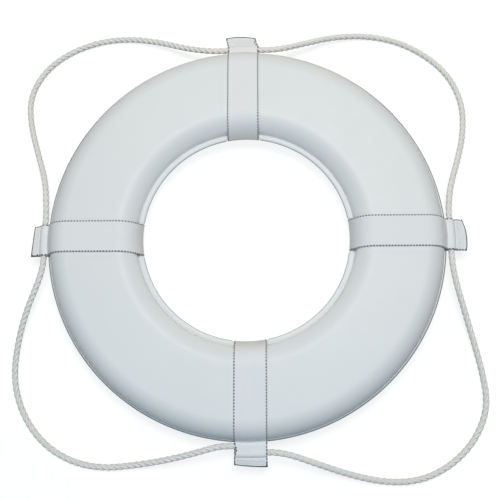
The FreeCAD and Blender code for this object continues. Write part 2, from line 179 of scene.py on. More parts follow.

# Each strap: its direction in degrees, the rope runs in its pocket and the two seams of
# its tab, as radii. ends: how far the cut end stands out or back at the low, middle and
# high edge. lean: how far both plies' low and high edges stray sideways at the end.
# nips: places where one ply's edge is pulled in (ply, edge, radius, depth, half length).
# fray: how ragged the low and high edges of the tab are. melt_and_shade_reach: how much further
# the dark end, partly melted and partly painted shade, reaches in at its low and high corners.
# ease: how far the plies stand apart outside the rope, and over what reach. arch: how far the
# inner fold lies back at both edges.
STRAPS = {
    "right": {
        "angle": 0.0, "pocket": (312.0 * MM,), "seams": (322.5 * MM, 328.5 * MM),
        "ends": (-0.3 * MM, 0.3 * MM, -4.6 * MM), "lean": (-1.0 * MM, -1.2 * MM),
        "nips": ((1, 1, 319.0 * MM, 1.4 * MM, 3.0 * MM),), "fray": (0.25 * MM, 0.35 * MM),
        "melt_and_shade_reach": (2.0 * MM, 0.5 * MM), "ease": (1.8 * MM, 5.5 * MM), "arch": 0.3 * MM,
    },
    "top": {
        "angle": 90.0, "pocket": (310.8 * MM,), "seams": (320.0 * MM, 325.5 * MM),
        "ends": (-1.6 * MM, 0.5 * MM, -0.6 * MM), "lean": (4.2 * MM, 3.9 * MM),
        "nips": ((-1, -1, 316.5 * MM, -2.2 * MM, 6.0 * MM),
                 (1, -1, 323.0 * MM, 3.0 * MM, 4.5 * MM)),
        "fray": (0.25 * MM, 0.25 * MM), "melt_and_shade_reach": (0.5 * MM, 2.0 * MM),
        "ease": (1.4 * MM, 4.5 * MM), "arch": 1.6 * MM,
    },
    "left": {
        "angle": 180.0, "pocket": (311.5 * MM,), "seams": (321.0 * MM, 325.0 * MM),
        "ends": (-2.0 * MM, -0.6 * MM, 2.4 * MM), "lean": (2.6 * MM, 1.3 * MM),
        "nips": ((1, 1, 317.0 * MM, 1.0 * MM, 3.5 * MM),), "fray": (0.3 * MM, 1.3 * MM),
        "melt_and_shade_reach": (0.5 * MM, 9.0 * MM), "ease": (1.1 * MM, 3.5 * MM), "arch": 0.3 * MM,
    },
    "bottom": {
        "angle": 270.0, "pocket": (310.2 * MM, 319.9 * MM), "seams": (330.0 * MM, 334.5 * MM),
        "ends": (-1.7 * MM, 0.2 * MM, 2.2 * MM), "lean": (0.2 * MM, 0.4 * MM),
        "nips": ((1, -1, 316.0 * MM, 3.4 * MM, 6.0 * MM),), "fray": (0.35 * MM, 0.25 * MM),
        "melt_and_shade_reach": (4.0 * MM, 6.0 * MM), "ease": (2.6 * MM, 7.0 * MM), "arch": 0.3 * MM,
    },
}

# The grab line's four free loops, from the middle of one strap's pocket to the next one's.
LOOPS = {
    "top_left": [
        (-0.3115, -0.0032, 0.03265), (-0.3104, 0.0261, 0.03265), (-0.3110, 0.0520, 0.0324),
        (-0.3170, 0.0960, 0.0240), (-0.3345, 0.1435, 0.0109), (-0.3500, 0.1925, 0.0055),
        (-0.3555, 0.2400, 0.00485), (-0.3365, 0.2845, 0.00485), (-0.3010, 0.3170, 0.00485),
        (-0.2525, 0.3385, 0.00485), (-0.2005, 0.3455, 0.0058), (-0.1465, 0.3370, 0.0109),
        (-0.0970, 0.3185, 0.0228), (-0.0605, 0.3092, 0.0324), (-0.0339, 0.3089, 0.03265),
        (-0.0046, 0.3108, 0.03265)],
    "top_right": [
        (-0.0046, 0.3108, 0.03265), (0.0247, 0.3098, 0.03265), (0.0555, 0.3113, 0.0324),
        (0.0975, 0.3255, 0.0234), (0.1440, 0.3420, 0.0109), (0.1980, 0.3460, 0.0055),
        (0.2505, 0.3345, 0.00485), (0.2975, 0.3070, 0.00485), (0.3310, 0.2715, 0.00485),
        (0.3485, 0.2235, 0.0053), (0.3455, 0.1720, 0.0091), (0.3320, 0.1265, 0.0204),
        (0.3170, 0.0840, 0.0296), (0.3118, 0.0565, 0.0325), (0.3103, 0.0325, 0.03265),
        (0.3120, 0.0032, 0.03265)],
    "bottom_right": [
        (-0.0148, -0.3196, 0.03265), (0.0064, -0.3198, 0.03265), (0.0357, -0.3179, 0.03265),
        (0.0630, -0.3215, 0.0324), (0.1035, -0.3355, 0.0254), (0.1505, -0.3510, 0.0133),
        (0.2040, -0.3625, 0.0064), (0.2555, -0.3600, 0.00485), (0.3030, -0.3370, 0.00485),
        (0.3395, -0.3000, 0.00485), (0.3595, -0.2525, 0.0050), (0.3535, -0.2010, 0.0061),
        (0.3395, -0.1490, 0.0139), (0.3245, -0.1000, 0.0260), (0.3140, -0.0600, 0.0324),
        (0.3109, -0.0261, 0.03265), (0.3120, 0.0032, 0.03265)],
    "bottom_left": [
        (-0.3115, -0.0032, 0.03265), (-0.3098, -0.0325, 0.03265), (-0.3155, -0.0630, 0.0324),
        (-0.3365, -0.1110, 0.0222), (-0.3500, -0.1595, 0.0100), (-0.3540, -0.2095, 0.0055),
        (-0.3415, -0.2565, 0.00485), (-0.3125, -0.3005, 0.00485), (-0.2685, -0.3310, 0.00485),
        (-0.2180, -0.3430, 0.0052), (-0.1635, -0.3380, 0.0097), (-0.1110, -0.3290, 0.0204),
        (-0.0695, -0.3186, 0.0302), (-0.0450, -0.3113, 0.0325), (-0.0229, -0.3094, 0.03265),
        (0.0064, -0.3101, 0.03265), (0.0276, -0.3090, 0.03265)],
}

# ---------------------------------------------------------------- camera, lights, floor

# The camera looks down from CAMERA_DISTANCE over the ring's middle, tilted towards -Y and
# leaning towards +X. SHIFT moves the object in the frame.
CAMERA_DISTANCE = 1.26
CAMERA_TILT = radians(12.55)
CAMERA_LEAN = radians(1.45)
LENS_MM = 58.83
SENSOR_MM = 36.0
SHIFT = (0.0105, -0.0245)
NEAR_CLIP = 0.01

# Studio lights: name, place, width, height, watts and colour. The cool one lights the
# ring's lower shoulder, and the warm one its upper shoulder.
LIGHTS = (
    ("overhead", (0.10, 0.42, 2.1), 0.9, 0.9, 31.3, (1.0, 0.985, 0.952)),
    ("cool_fill", (-0.1, -0.75, 0.9), 1.2, 0.4, 1.75, (0.12, 0.55, 1.0)),
    ("warm_fill", (0.3, 1.5, 0.45), 2.0, 0.8, 1.3, (1.0, 0.78, 0.46)),
)
SKY_COLOUR = (0.92, 0.97, 1.0, 1)
SKY_STRENGTH = 0.25

# The floor reaches that far each way. The card in the hole is a disc just over it.
FLOOR_REACH = 20.0
CARD_SIDES = 96
CARD_HEIGHT = 0.1 * MM


def aim(obj, place, target):
    """Puts obj at place with its -Z towards target and +Y of the frame upwards."""
    back = (Vector(place) - Vector(target)).normalized()
    side = Vector((0, 1, 0)).cross(back).normalized()
    over = back.cross(side)
    turn = Matrix((side, over, back)).transposed().to_4x4()
    obj.matrix_world = Matrix.Translation(place) @ turn


def add_camera():
    """The camera, high over the ring and a little towards its lower side."""
    data = bpy.data.cameras.new("camera")
    data.sensor_width = SENSOR_MM
    data.lens = LENS_MM
    data.shift_x, data.shift_y = SHIFT
    data.clip_start = NEAR_CLIP
    camera = bpy.data.objects.new("camera", data)
    bpy.context.scene.collection.objects.link(camera)
    target = Vector((0, 0, MIDDLE))
    towards = Vector((sin(CAMERA_LEAN) * cos(CAMERA_TILT), -sin(CAMERA_TILT),
                      cos(CAMERA_LEAN) * cos(CAMERA_TILT)))
    aim(camera, target + CAMERA_DISTANCE * towards, target)
    bpy.context.scene.camera = camera


def add_light(name, place, width, height, watts, tint):
    """An area light that points at the ring's middle."""
    data = bpy.data.lights.new(name, "AREA")
    data.shape = "RECTANGLE"
    data.size, data.size_y = width, height
    data.energy = watts
    data.color = tint
    lamp = bpy.data.objects.new(name, data)
    bpy.context.scene.collection.objects.link(lamp)
    aim(lamp, place, (0, 0, 0))


def add_lights():
    """Soft studio light: a pale even sky and three area lights."""
    world = bpy.data.worlds.new("studio")
    world.use_nodes = True
    sky = world.node_tree.nodes["Background"]
    sky.inputs["Color"].default_value = SKY_COLOUR
    sky.inputs["Strength"].default_value = SKY_STRENGTH
    scene = bpy.context.scene
    scene.world = world
    scene.view_settings.view_transform = "Standard"
    for light in LIGHTS:
        add_light(*light)


def add_sheet(name, outline, material):
    """A flat piece of the studio's white ground, with the corners of outline."""
    mesh = bpy.data.meshes.new(name)
    mesh.from_pydata(outline, [], [tuple(range(len(outline)))])
    mesh.materials.append(material)
    sheet = bpy.data.objects.new(name, mesh)
    bpy.context.scene.collection.objects.link(sheet)
    return sheet


def add_floor(material):
    """A pale floor, and a white card on it under the hole that lights the hole's wall."""
    far = FLOOR_REACH
    corners = [(-far, -far, 0), (far, -far, 0), (far, far, 0), (-far, far, 0)]
    ground = add_sheet("floor", corners, material)
    ground.visible_diffuse = False
    turns = [2 * pi * step / CARD_SIDES for step in range(CARD_SIDES)]
    outline = [(BODY_INNER * cos(a), BODY_INNER * sin(a), CARD_HEIGHT) for a in turns]
    add_sheet("hole_card", outline, material)


# ---------------------------------------------------------------- mesh helpers

def grid_piece(name, rows, along, across, material, closed=False, caps=False):
    """A mesh through rows of points, with UVs (along, across) in metres or turns."""
    count = len(rows[0])
    points = [point for row in rows for point in row]
    faces, uvs = [], []
    steps = count if closed else count - 1
    for i in range(len(rows) - 1):
        for j in range(steps):
            k = (j + 1) % count
            faces.append((i * count + j, (i + 1) * count + j, (i + 1) * count + k, i * count + k))
            near, far = across[j], across[j + 1]
            uvs += [(along[i], near), (along[i + 1], near), (along[i + 1], far), (along[i], far)]
    if caps:
        for i, order in ((0, 1), (len(rows) - 1, -1)):
            ring = [i * count + j for j in range(count)][::order]
            faces.append(tuple(ring))
            uvs += [(along[i], across[j]) for j in range(count)][::order]
    mesh = bpy.data.meshes.new(name)
    mesh.from_pydata([tuple(p) for p in points], [], faces)
    layer = mesh.uv_layers.new(name="UVMap")
    layer.data.foreach_set("uv", [value for uv in uvs for value in uv])
    mesh.polygons.foreach_set("use_smooth", [True] * len(faces))
    mesh.materials.append(material)
    mesh.validate()
    piece = bpy.data.objects.new(name, mesh)
    bpy.context.scene.collection.objects.link(piece)
    return piece


def join(name, pieces):
    """Joins mesh pieces into one, keeping their UVs and materials."""
    first = pieces[0]
    with bpy.context.temp_override(active_object=first, selected_editable_objects=pieces,
                                   object=first, selected_objects=pieces):
        bpy.ops.object.join()
    first.name = name
    first.data.name = name
    return first


# ---------------------------------------------------------------- materials

def add(tree, kind, inputs=None, **settings):
    """Adds a shader node with its settings and inputs, which are values or sockets."""
    node = tree.nodes.new(kind)
    for key, value in settings.items():
        setattr(node, key, value)
    for key, value in (inputs or {}).items():
        if isinstance(value, bpy.types.NodeSocket):
            tree.links.new(value, node.inputs[key])
        else:
            node.inputs[key].default_value = value
    return node


def calc(tree, operation, *values):
    """A Math node's result."""
    inputs = dict(enumerate(values))
    return add(tree, "ShaderNodeMath", inputs, operation=operation).outputs[0]


def mix_colour(tree, share, first, second):
    """The first colour where share is 0, the second where it is 1."""
    node = add(tree, "ShaderNodeMix", {0: share, 6: first, 7: second}, data_type="RGBA")
    return node.outputs[2]


def new_material(name, roughness):
    """A node material with its tree and its Principled shader."""
    material = bpy.data.materials.new(name)
    material.use_nodes = True
    tree = material.node_tree
    shader = tree.nodes["Principled BSDF"]
    shader.inputs["Roughness"].default_value = roughness
    return material, tree, shader


def colour(red, green, blue):
    """An opaque colour from its linear parts."""
    return (red, green, blue, 1.0)


def bump(tree, shader, height, distance, strength):
    """Relief from a height of 0 to 1, where 1 stands distance high."""
    node = add(tree, "ShaderNodeBump",
               {"Height": height, "Distance": distance, "Strength": strength})
    tree.links.new(node.outputs["Normal"], shader.inputs["Normal"])


def place_noise(tree, scale, detail=2.0):
    """Noise at the piece's own coordinates, scale in cells per metre."""
    where = add(tree, "ShaderNodeTexCoord").outputs["Object"]
    return add(tree, "ShaderNodeTexNoise",
               {"Vector": where, "Scale": scale, "Detail": detail}).outputs["Fac"]


def uv_axes(tree):
    """A piece's two UV coordinates: along it, and across or round it."""
    where = add(tree, "ShaderNodeUVMap", uv_map="UVMap").outputs["UV"]
    split = add(tree, "ShaderNodeSeparateXYZ", {"Vector": where})
    return split.outputs["X"], split.outputs["Y"]


def wave(tree, value, period):
    """Sine of value with that period, from -1 to 1."""
    return calc(tree, "SINE", calc(tree, "MULTIPLY", value, 2 * pi / period))


def ridges(tree, value, count):
    """That many rounded ridges from 0 to 1 for each unit of value."""
    return calc(tree, "ABSOLUTE", calc(tree, "SINE", calc(tree, "MULTIPLY", value, count * pi)))


def rim_edge_shade_share(tree, where):
    """Share of painted shade, dark along the free edge of the cover's outer rim and of its hole."""
    at_rim, at_hole = 0.85, 0.7
    flat = add(tree, "ShaderNodeVectorMath", {0: where, 1: (1, 1, 0)}, operation="MULTIPLY")
    radius = add(tree, "ShaderNodeVectorMath", {0: flat.outputs[0]}, operation="LENGTH")
    outer = calc(tree, "GREATER_THAN", radius.outputs["Value"], RIM_RADIUS - OUTER_EDGE_SHADE)
    inner = calc(tree, "LESS_THAN", radius.outputs["Value"], HOLE_RADIUS + INNER_EDGE_SHADE)
    return calc(tree, "MULTIPLY_ADD", outer, at_rim, calc(tree, "MULTIPLY", inner, at_hole))


def vinyl_material():
    """Off-white PVC film: fine leather grain, faint mottling, soft gloss, painted shade at the rim
    edges.
    """
    darker, lighter = colour(0.700, 0.722, 0.722), colour(0.732, 0.750, 0.747)
    rim_edge_shade_colour = colour(0.20, 0.21, 0.21)
    mottle_cells, gloss_cells, grain_cells = 9.0, 60.0, 900.0
    least_rough, rough_range = 0.40, 0.14
    grain_depth = 0.06 * MM
    material, tree, shader = new_material("vinyl", 0.42)
    shader.inputs["Specular IOR Level"].default_value = 0.35
    tint = mix_colour(tree, place_noise(tree, mottle_cells), darker, lighter)
    where = add(tree, "ShaderNodeTexCoord").outputs["Object"]
    # Painted shade: the rims' free edges are painted dark where shade falls under and round them.
    tint = mix_colour(tree, rim_edge_shade_share(tree, where), tint, rim_edge_shade_colour)
    tree.links.new(tint, shader.inputs["Base Color"])
    gloss = place_noise(tree, gloss_cells)
    rough = calc(tree, "MULTIPLY_ADD", gloss, rough_range, least_rough)
    tree.links.new(rough, shader.inputs["Roughness"])
    grain = add(tree, "ShaderNodeTexVoronoi", {"Vector": where, "Scale": grain_cells},
                feature="SMOOTH_F1").outputs["Distance"]
    bump(tree, shader, grain, grain_depth, 0.5)
    return material


def rope_material():
    """Three-strand filament rope: fine yarns that run nearly along the rope."""
    darker, lighter = colour(0.715, 0.70, 0.655), colour(0.83, 0.815, 0.77)
    yarns, yarn_turn, yarn_depth = 9.0, 27.0 * MM, 0.25 * MM
    fibre_cells, fibre_detail = 700.0, 3.0
    yarn_share, fibre_share, fibre_relief = 0.75, 0.25, 0.3
    material, tree, shader = new_material("rope", 0.55)
    along, around = uv_axes(tree)
    angle = calc(tree, "ADD", around, calc(tree, "DIVIDE", along, yarn_turn))
    yarn = ridges(tree, angle, yarns)
    fibre = place_noise(tree, fibre_cells, fibre_detail)
    shade = calc(tree, "MULTIPLY_ADD", yarn, yarn_share,
                 calc(tree, "MULTIPLY", fibre, fibre_share))
    tint = mix_colour(tree, shade, darker, lighter)
    tree.links.new(tint, shader.inputs["Base Color"])
    height = calc(tree, "MULTIPLY_ADD", fibre, fibre_relief, yarn)
    bump(tree, shader, height, yarn_depth, 0.8)
    return material


def weave_height(tree, along, across):
    """The webbing's relief: columns of yarn, with ribs half a rib further in each next one."""
    rib, column = 3.0 * MM, 1.55 * MM
    rib_share = 0.5
    lane = calc(tree, "DIVIDE", across, column)
    shift = calc(tree, "MULTIPLY", calc(tree, "FLOOR", lane), rib / 2)
    over = wave(tree, calc(tree, "ADD", along, shift), rib)
    return calc(tree, "MULTIPLY_ADD", over, rib_share, ridges(tree, lane, 1))


def wrap_shade_share(tree, along):
    """Share of painted shade on the webbing, most where it wraps the rim in the strap's middle."""
    reach, most = 18.0 * MM, 0.6
    ratio = calc(tree, "DIVIDE", along, reach)
    square = calc(tree, "MULTIPLY", ratio, ratio)
    near_rim = calc(tree, "EXPONENT", calc(tree, "MULTIPLY", square, -1.0))
    return calc(tree, "MULTIPLY", near_rim, most)


def tracer_share(tree, along, across, half_width):
    """Share of the tracer yarn beside both selvedges: dashes, and a fainter line between."""
    place, half_band, pitch = 1.0 * MM, 0.95 * MM, 4.5 * MM
    between, more_in_dash = 0.20, 0.76
    dash_from = -0.05
    from_edge = calc(tree, "SUBTRACT", half_width, calc(tree, "ABSOLUTE", across))
    band = calc(tree, "COMPARE", from_edge, place, half_band)
    dash = calc(tree, "GREATER_THAN", wave(tree, along, pitch), dash_from)
    return calc(tree, "MULTIPLY", band, calc(tree, "MULTIPLY_ADD", dash, more_in_dash, between))


def melt_and_shade_share(tree):
    """1 within a ragged distance of a cut end, and 0 elsewhere."""
    least, rag, rag_cells = 0.7 * MM, 1.4 * MM, 500.0
    from_end = add(tree, "ShaderNodeAttribute", attribute_name="from_end").outputs["Fac"]
    ragged = calc(tree, "MULTIPLY_ADD", place_noise(tree, rag_cells), rag, least)
    return calc(tree, "LESS_THAN", from_end, ragged)


def webbing_material(half_width):
    """White ribbed webbing with a grey tracer, painted shade at the rim wrap, and dark cut ends,
    partly melted and partly painted shade.
    """
    darker, lighter = colour(0.72, 0.735, 0.742), colour(0.845, 0.855, 0.858)
    wrap_shade_colour = colour(0.40, 0.385, 0.35)
    tracer_colour = colour(0.05, 0.06, 0.07)
    melt_and_shade_colour = colour(0.06, 0.06, 0.065)
    fibre_cells, fibre_share, weave_share = 1500.0, 0.4, 0.5
    roughness, melted_smoother = 0.6, -0.25
    weave_depth = 0.22 * MM
    material, tree, shader = new_material("webbing", roughness)
    along, across = uv_axes(tree)
    height = weave_height(tree, along, across)
    shade = calc(tree, "MULTIPLY_ADD", place_noise(tree, fibre_cells), fibre_share,
                 calc(tree, "MULTIPLY", height, weave_share))
    tint = mix_colour(tree, shade, darker, lighter)
    # Painted shade: warm grey darkening where the webbing wraps the hole's rim.
    tint = mix_colour(tree, wrap_shade_share(tree, along), tint, wrap_shade_colour)
    tint = mix_colour(tree, tracer_share(tree, along, across, half_width), tint, tracer_colour)
    # The cut ends are painted near black: partly their melted edge, partly painted shade.
    melt_and_shade_mask = melt_and_shade_share(tree)
    tint = mix_colour(tree, melt_and_shade_mask, tint, melt_and_shade_colour)
    tree.links.new(tint, shader.inputs["Base Color"])
    rough = calc(tree, "MULTIPLY_ADD", melt_and_shade_mask, melted_smoother, roughness)
    tree.links.new(rough, shader.inputs["Roughness"])
    bump(tree, shader, height, weave_depth, 0.8)
    return material


def thread_material():
    """White three-ply twisted thread."""
    darker, lighter = colour(0.62, 0.62, 0.60), colour(0.84, 0.84, 0.82)
    plies, ply_turn, ply_depth = 3, 2.4 * MM, 0.08 * MM
    material, tree, shader = new_material("thread", 0.45)
    along, around = uv_axes(tree)
    angle = calc(tree, "ADD", calc(tree, "DIVIDE", along, ply_turn), around)
    ply = ridges(tree, angle, plies)
    tint = mix_colour(tree, ply, darker, lighter)
    tree.links.new(tint, shader.inputs["Base Color"])
    bump(tree, shader, ply, ply_depth, 0.8)
    return material


def foam_material():
    """Cream closed-cell foam."""
    darker, lighter = colour(0.70, 0.69, 0.62), colour(0.84, 0.83, 0.77)
    foam_cells, cell_depth = 700.0, 0.3 * MM
    material, tree, shader = new_material("foam", 0.9)
    where = add(tree, "ShaderNodeTexCoord").outputs["Object"]
    cells = add(tree, "ShaderNodeTexVoronoi", {"Vector": where, "Scale": foam_cells})
    tint = mix_colour(tree, cells.outputs["Distance"], darker, lighter)
    tree.links.new(tint, shader.inputs["Base Color"])
    bump(tree, shader, cells.outputs["Distance"], cell_depth, 0.6)
    return material


def floor_material():
    """Matt paper that glows a little, so that it shows as a plain pale ground."""
    darker, lighter = colour(0.24, 0.24, 0.24), colour(0.26, 0.26, 0.26)
    mottle_cells = 3.0
    material, tree, shader = new_material("floor_paper", 0.9)
    tint = mix_colour(tree, place_noise(tree, mottle_cells), darker, lighter)
    tree.links.new(tint, shader.inputs["Base Color"])
    shader.inputs["Specular IOR Level"].default_value = 0.1
    shader.inputs["Emission Color"].default_value = colour(1.0, 1.0, 1.0)
    shader.inputs["Emission Strength"].default_value = 0.80
    return material


# ---------------------------------------------------------------- the cover

def cover_section():
    """Half of the cover's section from its outer edge to the hole: (radius, height) pairs."""
    points = []
    for turn in BEAD_TURNS:
        points.append(bead_point(RIM_RADIUS, BODY_OUTER, OUTER_BEAD, radians(turn)))
    for turn in SHOULDER_TURNS:
        swing = radians(turn)
        points.append((FLAT_OUTER + SHOULDER * cos(swing), WALL + SHOULDER * sin(swing)))
    for lane in range(1, FLAT_LANES):
        radius = FLAT_OUTER + (FLAT_INNER - FLAT_OUTER) * lane / FLAT_LANES
        points.append((radius, HALF_THICKNESS))
    for turn in reversed(SHOULDER_TURNS):
        swing = radians(turn)
        points.append((FLAT_INNER - SHOULDER * cos(swing), WALL + SHOULDER * sin(swing)))
    for turn in reversed(BEAD_TURNS):
        points.append(bead_point(HOLE_RADIUS, BODY_INNER, INNER_BEAD, radians(turn)))
    return points


def bead_point(edge, wall, height, swing):
    """A point of the rounded bead along a rim, at an angle up from its free edge."""
    middle, reach = (edge + wall) / 2, (edge - wall) / 2
    return middle + reach * cos(swing), height * sin(swing)


def strap_edge_distance(radius, angle):
    """How far a point on the ring lies outside the nearest strap's edge; negative under it."""
    least = RIM_RADIUS
    for side in STRAPS:
        turn = angle - radians(STRAPS[side]["angle"])
        if cos(turn) > 0:
            low, high, _ = strap_place(side)
            aside = radius * sin(turn)
            least = min(least, max(low - aside, aside - high))
    return least


def cover_swell(radius, angle, height):
    """How far the cover stands off its plain section at a point."""
    rim = min(BODY_OUTER - radius, radius - BODY_INNER)
    if rim < 0:
        return 0.0
    apart = strap_edge_distance(radius, angle)
    if apart < 0:
        return -STRAP_DENT
    where = Vector((radius * cos(angle), radius * sin(angle), height))
    level = Vector((where.x, where.y, 0))
    broad = sum(size * noise.noise(cells * where) for size, cells in COVER_WAVES)
    pucker = PUCKER_HEIGHT * noise.noise(level * PUCKER_CELLS) * exp(-height / PUCKER_REACH)
    settle = 1 - exp(-(apart / SETTLE_REACH) ** 2)
    ridge = RIDGE_HEIGHT * exp(-((apart - RIDGE_PLACE) / RIDGE_REACH) ** 2)
    waves = settle * min(1.0, rim / WAVE_FADE) * (broad + pucker)
    return waves + ridge * min(1.0, rim / RIDGE_FADE)


def rim_squeeze(radius, angle):
    """How far the taut straps press the inner rim back under them."""
    if radius > BODY_INNER:
        return 0.0
    under = 1 - strap_edge_distance(radius, angle) / SQUEEZE_MARGIN
    depth = (BODY_INNER - radius) / INNER_RIM
    return (RIM_PULL + SQUEEZE_CLEARANCE) * depth * min(1.0, max(0.0, under))


def add_cover(side, material):
    """One half of the vinyl cover, from weld line to weld line."""
    section = cover_section()
    normals = []
    for index in range(len(section)):
        (r0, z0), (r1, z1) = section[max(index - 1, 0)], section[min(index + 1, len(section) - 1)]
        long = hypot(r1 - r0, z1 - z0)
        normals.append(((z1 - z0) / long, -(r1 - r0) / long))
    rows = []
    for number in range(RING_STEPS + 1):
        angle = 2 * pi * number / RING_STEPS
        row = []
        for (radius, height), (out, up) in zip(section, normals):
            swell = cover_swell(radius, angle, height)
            r = radius + swell * out + rim_squeeze(radius, angle)
            z = height + swell * up
            row.append((r * cos(angle), r * sin(angle), MIDDLE + side * z))
        rows.append(row if side > 0 else row[::-1])
    along = [number / RING_STEPS for number in range(RING_STEPS + 1)]
    across = [j / len(section) for j in range(len(section))]
    name = "front" if side > 0 else "back"
    cover = grid_piece(f"vinyl_cover_{name}", rows, along, across, material)
    weld_seam(cover)
    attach(cover, "buoy")
    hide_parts(f"skin_{name}")


def weld_seam(piece):
    """Merges the points where a mesh that runs all the way round meets itself."""
    mesh = bmesh.new()
    mesh.from_mesh(piece.data)
    bmesh.ops.remove_doubles(mesh, verts=mesh.verts, dist=SAME_PLACE)
    mesh.to_mesh(piece.data)
    mesh.free()


# ---------------------------------------------------------------- the straps

def turned(side, point):
    """Turns a point of a strap's own frame, where it lies along +X, into the ring's frame."""
    return Matrix.Rotation(radians(STRAPS[side]["angle"]), 3, "Z") @ Vector(point)


PLACES = {}  # what strap_place has already found


def strap_place(side):
    """Low and high edge across a strap and the radius of its cut end, from its CAD node."""
    if side not in PLACES:
        back = Matrix.Rotation(-radians(STRAPS[side]["angle"]), 3, "Z")
        points = [back @ v.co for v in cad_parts[f"strap_{side}"].data.vertices]
        end = max(hypot(p.x, p.y) for p in points)
        PLACES[side] = min(p.y for p in points), max(p.y for p in points), end
    return PLACES[side]


def strap_rounds(pocket):
    """What half a strap bends over, from the hole to its tab: the ring's section, then the
    rope runs. Each is (radius, height over the middle plane, bend radius, side), and side
    is 1 where the ring or rope is inside the bend and -1 where the webbing folds back."""
    rope = ROPE_DIAMETER / 2 + POCKET_GAP
    outer_reach = sqrt((rope + OUTER_FOLD) ** 2 - (OUTER_FOLD + WEB_GAP) ** 2)
    fold_height = sqrt((rope + INNER_FOLD) ** 2 - INNER_FOLD_REACH ** 2)
    rounds = [
        (HOLE_RADIUS - RIM_WRAP_GAP + RIM_PULL + RIM_WRAP, 0.0, RIM_WRAP, 1),
        (FLAT_INNER, WALL, SHOULDER + WEB_GAP, 1),
        (FLAT_OUTER, WALL, SHOULDER + WEB_GAP, 1),
        (pocket[0] - INNER_FOLD_REACH, fold_height, INNER_FOLD, -1),
    ]
    rounds += [(radius, 0.0, rope, 1) for radius in pocket]
    rounds.append((pocket[-1] + outer_reach, OUTER_FOLD + WEB_GAP, OUTER_FOLD, -1))
    return rounds


def headings(rounds):
    """Heading of the taut webbing before the first round, between them and after."""
    found = [pi / 2]
    for here, there in zip(rounds, rounds[1:]):
        across, up = there[0] - here[0], there[1] - here[1]
        step = here[3] * here[2] - there[3] * there[2]
        found.append(atan2(up, across) - asin(max(-1.0, min(1.0, step / hypot(across, up)))))
    return found + [0.0]


def belt_line(side):
    """Inner face of the front half of a strap: (radius, height, heading, distance)."""
    rounds = strap_rounds(STRAPS[side]["pocket"])
    turns = headings(rounds)
    marks = []
    for index, (radius, height, bend, way) in enumerate(rounds):
        arm = way * bend
        arrive, leave = turns[index], turns[index + 1]
        pieces = max(1, ceil(abs(arrive - leave) / max(ARC_TURN, ARC_STEP / bend)))
        for step in range(pieces + 1):
            heading = arrive + (leave - arrive) * step / pieces
            marks.append((radius - arm * sin(heading), height + arm * cos(heading), heading))
    marks.append((strap_place(side)[2], marks[-1][1], 0.0))
    line = [(*marks[0], 0.0)]
    for radius, height, heading in marks[1:]:
        r0, z0, h0, gone = line[-1]
        gap = hypot(radius - r0, height - z0)
        if gap < SAME_PLACE:
            continue
        pieces = ceil(gap / STRAIGHT_STEP)
        for step in range(1, pieces + 1):
            share = step / pieces
            line.append((r0 + (radius - r0) * share, z0 + (height - z0) * share,
                         h0 + (heading - h0) * share, gone + gap * share))
    return line


def web_section(low, high):
    """Points round the webbing's section: (place across, offset from the inner face)."""
    half = WEB_THICKNESS / 2
    flat = [low + half + (high - low - 2 * half) * j / WEB_LANES for j in range(WEB_LANES + 1)]
    section = [(y, WEB_THICKNESS) for y in flat]
    section += [(high - half + half * cos(a), half + half * sin(a)) for a in (pi / 4, 0, -pi / 4)]
    section += [(y, 0.0) for y in reversed(flat)]
    section += [(low + half - half * cos(a), half + half * sin(a)) for a in (-pi / 4, 0, pi / 4)]
    return section


def three_way(values, share):
    """Smooth value at share from 0 to 1, from the values at the low, middle and high edge."""
    low, middle, high = values
    return (low * (1 - share) * (1 - 2 * share) + 4 * middle * share * (1 - share)
            + high * share * (2 * share - 1))


def tab_change(side, ply, radius, aside):
    """How a tab's webbing strays from its plain shape: (sideways, outwards, up)."""
    shape = STRAPS[side]
    low, high, end = strap_place(side)
    share = (aside - low) / (high - low)
    sideways = up = 0.0
    near_fold = exp(-((radius - shape["pocket"][0] + FOLD_PLACE) / ARCH_REACH) ** 2)
    outwards = -shape["arch"] * near_fold * (2 * share - 1) ** 2
    start = shape["pocket"][-1] + TAB_START
    gone = (radius - start) / (end - start)
    if gone > 0:
        outwards += gone * three_way(shape["ends"], share)
        sideways = gone * (shape["lean"][0] * (1 - share) + shape["lean"][1] * share)
        seed = Vector((TAB_CELLS[0] * radius, TAB_CELLS[1] * aside, 7.0 + shape["angle"]))
        up = TAB_WAVE * gone * noise.noise(seed)
    if radius > shape["pocket"][0] - FRAY_START:
        rag = shape["fray"][0] if share < 0.5 else shape["fray"][1]
        close = max(0.0, 1 - min(share, 1 - share) / FRAY_WIDTH)
        seed = Vector((radius * FRAY_CELLS, ply * 3.0, share * 2 + shape["angle"]))
        sideways += rag * close * noise.noise(seed)
    for nip_ply, edge, centre, depth, reach in shape["nips"]:
        if ply == nip_ply:
            near = share if edge < 0 else 1 - share
            pull = depth * exp(-((radius - centre) / reach) ** 2) * max(0.0, 1 - near / NIP_WIDTH)
            sideways -= edge * pull
    return sideways, outwards, up


def pocket_ease(side, radius):
    """How far a ply stands off its taut line, where soft webbing bends beside the rope."""
    pocket = STRAPS[side]["pocket"]
    amount, reach = STRAPS[side]["ease"]
    inner = FOLD_EASE * exp(-((radius - pocket[0] + FOLD_PLACE) / FOLD_EASE_REACH) ** 2)
    return inner + amount * exp(-((radius - pocket[-1] - OUTER_EASE_PLACE) / reach) ** 2)


def web_point(side, ply, mark, aside, offset):
    """A point of the webbing: on the front half for ply 1, and mirrored for -1."""
    radius, height, heading, _ = mark
    sideways, outwards, up = tab_change(side, ply, radius, aside)
    r = radius - offset * sin(heading) + outwards
    z = ply * (height + pocket_ease(side, radius) + offset * cos(heading)) + up
    y = aside + sideways
    return turned(side, (sqrt(r * r - aside * aside), y, MIDDLE + z))


